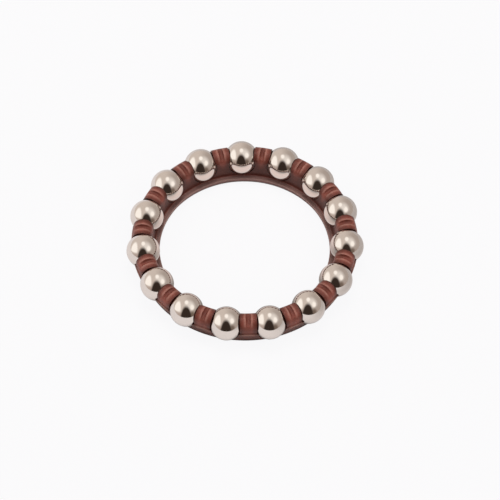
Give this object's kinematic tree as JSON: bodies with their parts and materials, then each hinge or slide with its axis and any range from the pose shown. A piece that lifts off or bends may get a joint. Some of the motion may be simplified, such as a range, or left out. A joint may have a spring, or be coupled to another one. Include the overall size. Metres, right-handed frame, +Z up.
{
  "type": "caged ball ring",
  "caption": "Ring of polished steel balls held in one moulded red-brown plastic cage, the rolling part of an angular contact thrust bearing.",
  "frame": {"origin": "on the ring's axis, in the plane that the rim stands on", "axes": "+Z up along the ring's axis, towards the pillars' crowns; the first ball is on +Y"},
  "size_m": [0.0448, 0.0446, 0.0072],
  "materials": {
    "cage_plastic": "moulded, semi-gloss",
    "ball_steel": "mirror polished"
  },
  "bodies": {
    "cage": {"cage": "cage_plastic"},
    "ball_01": {"ball_01": "ball_steel"},
    "ball_02": {"ball_02": "ball_steel"},
    "ball_03": {"ball_03": "ball_steel"},
    "ball_04": {"ball_04": "ball_steel"},
    "ball_05": {"ball_05": "ball_steel"},
    "ball_06": {"ball_06": "ball_steel"},
    "ball_07": {"ball_07": "ball_steel"},
    "ball_08": {"ball_08": "ball_steel"},
    "ball_09": {"ball_09": "ball_steel"},
    "ball_10": {"ball_10": "ball_steel"},
    "ball_11": {"ball_11": "ball_steel"},
    "ball_12": {"ball_12": "ball_steel"},
    "ball_13": {"ball_13": "ball_steel"},
    "ball_14": {"ball_14": "ball_steel"},
    "ball_15": {"ball_15": "ball_steel"}
  },
  "joints": [
    {"name": "ball_01_spin", "type": "hinge", "parent": "cage", "child": "ball_01", "pos_m": [0, 0.01935, 0.00398], "axis": [0, 0.7071, 0.7071], "continuous": true},
    {"name": "ball_02_spin", "type": "hinge", "parent": "cage", "child": "ball_02", "pos_m": [-0.00787, 0.01768, 0.00398], "axis": [-0.2876, 0.646, 0.7071], "continuous": true},
    {"name": "ball_03_spin", "type": "hinge", "parent": "cage", "child": "ball_03", "pos_m": [-0.01438, 0.01295, 0.00398], "axis": [-0.5255, 0.4731, 0.7071], "continuous": true},
    {"name": "ball_04_spin", "type": "hinge", "parent": "cage", "child": "ball_04", "pos_m": [-0.0184, 0.00598, 0.00398], "axis": [-0.6725, 0.2185, 0.7071], "continuous": true},
    {"name": "ball_05_spin", "type": "hinge", "parent": "cage", "child": "ball_05", "pos_m": [-0.01924, -0.00202, 0.00398], "axis": [-0.7032, -0.0739, 0.7071], "continuous": true},
    {"name": "ball_06_spin", "type": "hinge", "parent": "cage", "child": "ball_06", "pos_m": [-0.01676, -0.00967, 0.00398], "axis": [-0.6124, -0.3536, 0.7071], "continuous": true},
    {"name": "ball_07_spin", "type": "hinge", "parent": "cage", "child": "ball_07", "pos_m": [-0.01137, -0.01565, 0.00398], "axis": [-0.4156, -0.5721, 0.7071], "continuous": true},
    {"name": "ball_08_spin", "type": "hinge", "parent": "cage", "child": "ball_08", "pos_m": [-0.00402, -0.01893, 0.00398], "axis": [-0.147, -0.6917, 0.7071], "continuous": true},
    {"name": "ball_09_spin", "type": "hinge", "parent": "cage", "child": "ball_09", "pos_m": [0.00402, -0.01893, 0.00398], "axis": [0.147, -0.6917, 0.7071], "continuous": true},
    {"name": "ball_10_spin", "type": "hinge", "parent": "cage", "child": "ball_10", "pos_m": [0.01137, -0.01565, 0.00398], "axis": [0.4156, -0.5721, 0.7071], "continuous": true},
    {"name": "ball_11_spin", "type": "hinge", "parent": "cage", "child": "ball_11", "pos_m": [0.01676, -0.00967, 0.00398], "axis": [0.6124, -0.3536, 0.7071], "continuous": true},
    {"name": "ball_12_spin", "type": "hinge", "parent": "cage", "child": "ball_12", "pos_m": [0.01924, -0.00202, 0.00398], "axis": [0.7032, -0.0739, 0.7071], "continuous": true},
    {"name": "ball_13_spin", "type": "hinge", "parent": "cage", "child": "ball_13", "pos_m": [0.0184, 0.00598, 0.00398], "axis": [0.6725, 0.2185, 0.7071], "continuous": true},
    {"name": "ball_14_spin", "type": "hinge", "parent": "cage", "child": "ball_14", "pos_m": [0.01438, 0.01295, 0.00398], "axis": [0.5255, 0.4731, 0.7071], "continuous": true},
    {"name": "ball_15_spin", "type": "hinge", "parent": "cage", "child": "ball_15", "pos_m": [0.00787, 0.01768, 0.00398], "axis": [0.2876, 0.646, 0.7071], "continuous": true}
  ]
}
